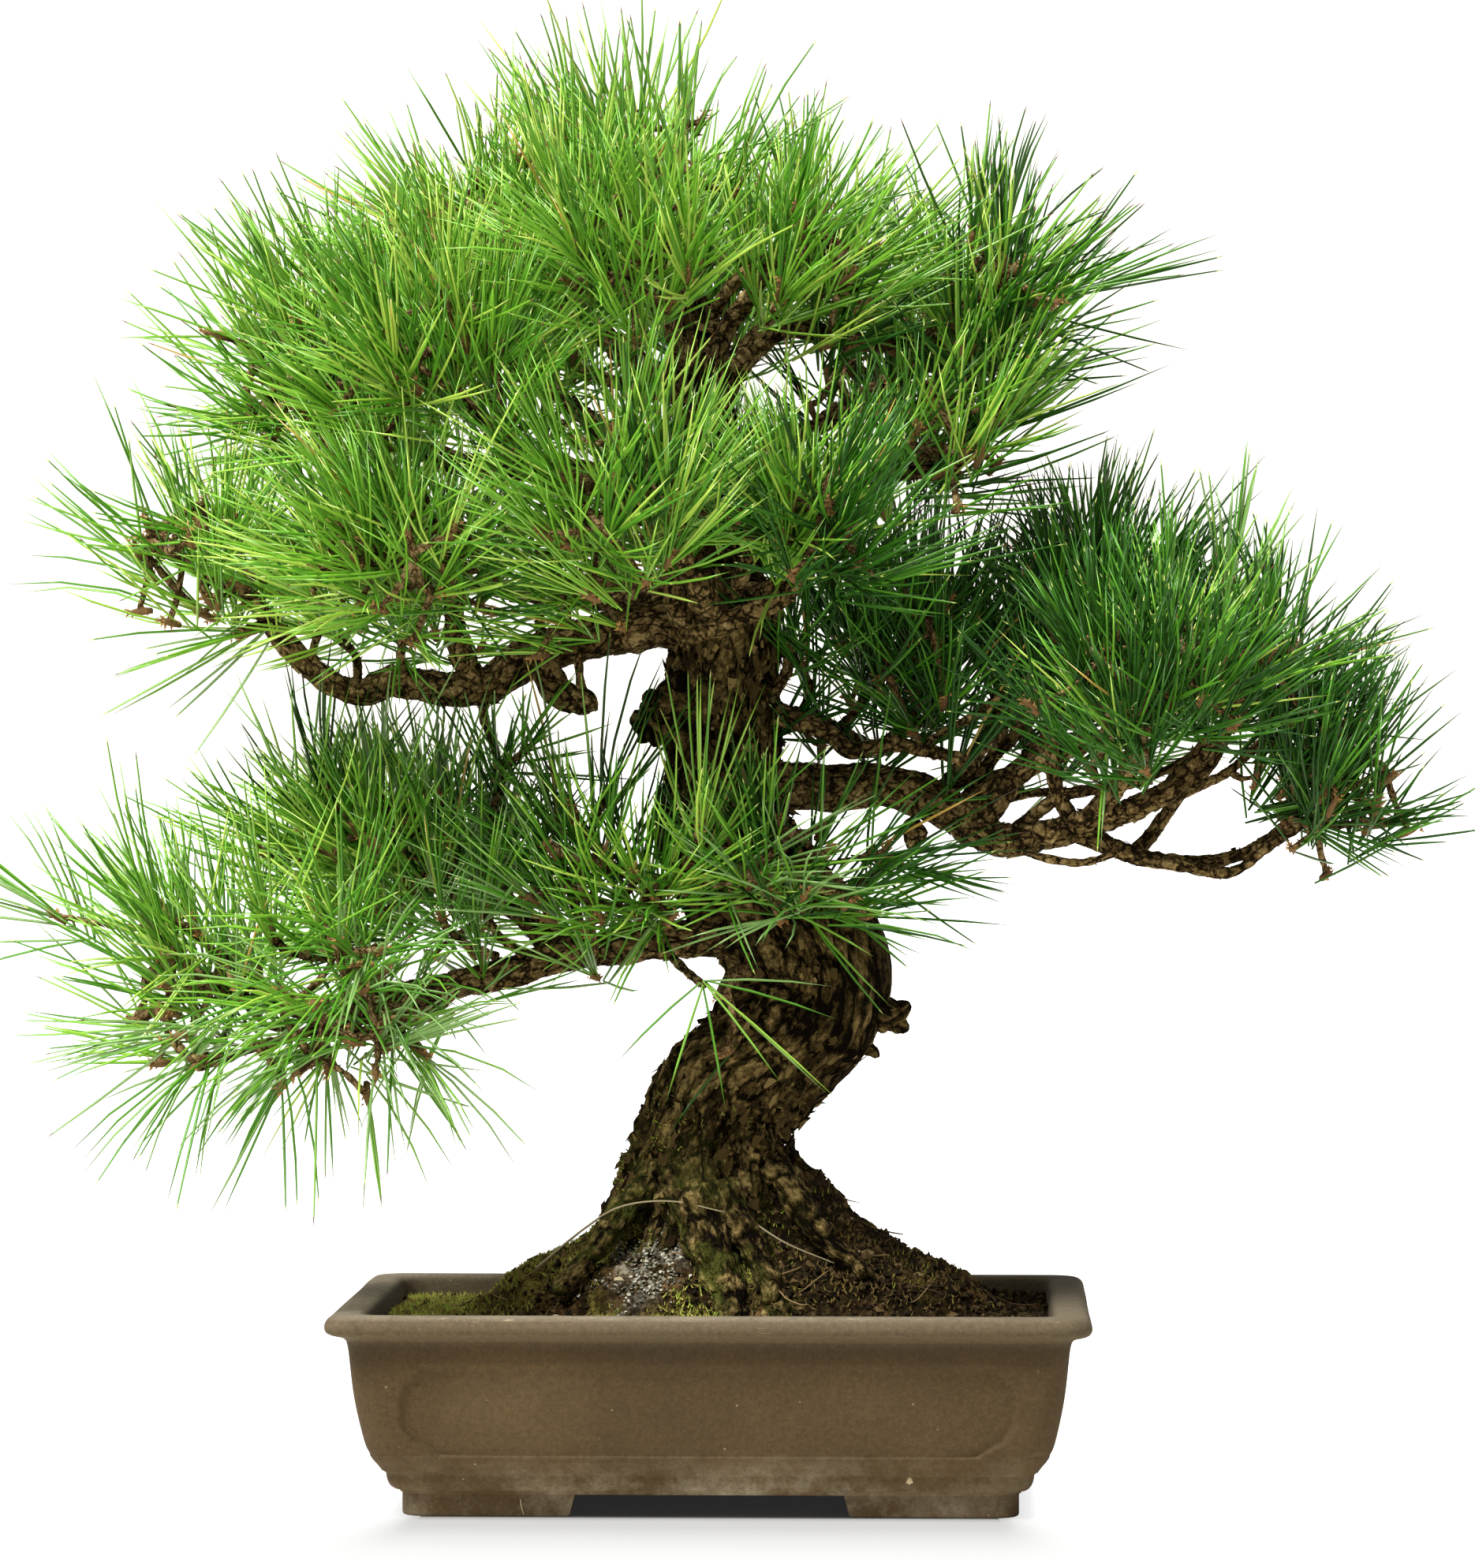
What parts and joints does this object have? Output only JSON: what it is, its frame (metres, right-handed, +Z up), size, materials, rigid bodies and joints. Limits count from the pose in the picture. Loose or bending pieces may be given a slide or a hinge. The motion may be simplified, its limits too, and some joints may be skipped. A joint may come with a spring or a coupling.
{
  "type": "japanese black pine bonsai",
  "caption": "Bonsai pine with an S-curved, flaky trunk, tapering boughs and tufted masses of needles, in a low rectangular clay pot with a mossy mound of soil.",
  "frame": {"origin": "on the ground under the middle of the plant's box, so a little to the right of the pot's middle", "axes": "+X to the right and +Y to the back of the tree as it is shown, along the pot's long and short sides; +Z up"},
  "size_m": [0.712, 0.419, 0.7266],
  "materials": {
    "clay": "matt unglazed",
    "soil": "matt, mossy",
    "bark": "rough, flaky",
    "limb": "ringed bark",
    "needles_bright": "satin",
    "needles_deep": "satin"
  },
  "bodies": {
    "root": {"pot": "clay", "soil": "soil", "trunk": "bark", "bough_left_low": "limb", "bough_left_low_front": "limb", "bough_left_low_upper": "limb", "bough_left_low_back": "limb", "bough_right": "limb", "bough_right_low": "limb", "bough_right_front": "limb", "bough_right_upper": "limb", "bough_right_back": "limb", "bough_right_inner": "limb", "bough_left": "limb", "bough_left_upright": "limb", "bough_left_stub": "limb", "bough_left_back": "limb", "bough_left_upper": "limb", "bough_left_upper_fork": "limb", "bough_left_top": "limb", "bough_arch": "limb", "bough_apex_front": "limb", "bough_upper_right": "limb", "bough_front": "limb", "bough_front_right": "limb", "bough_back_left": "limb", "bough_back_right": "limb", "bough_back_low": "limb", "needles_lower_left_tip": "needles_deep", "needles_lower_left_front": "needles_deep", "needles_lower_left_upper": "needles_deep", "needles_lower_left_back": "needles_deep", "needles_lower_left_inner": "needles_deep", "needles_lower_front": "needles_deep", "needles_low_sprig": "needles_deep", "needles_right_tip": "needles_deep", "needles_right_outer": "needles_deep", "needles_right_front": "needles_deep", "needles_right_top": "needles_bright", "needles_right_back": "needles_deep", "needles_right_inner": "needles_deep", "needles_left_tip": "needles_bright", "needles_left_front": "needles_bright", "needles_left_back": "needles_bright", "needles_left_inner": "needles_deep", "needles_upper_left": "needles_bright", "needles_upper_left_front": "needles_bright", "needles_top_left": "needles_bright", "needles_top": "needles_bright", "needles_top_right": "needles_bright", "needles_upper_right": "needles_bright", "needles_right_shoulder": "needles_bright", "needles_centre_front": "needles_bright", "needles_front_right": "needles_bright", "needles_top_front": "needles_bright", "needles_back_left": "needles_bright", "needles_back_top": "needles_bright", "needles_back_right": "needles_bright", "needles_back_low": "needles_bright"}
  },
  "joints": []
}
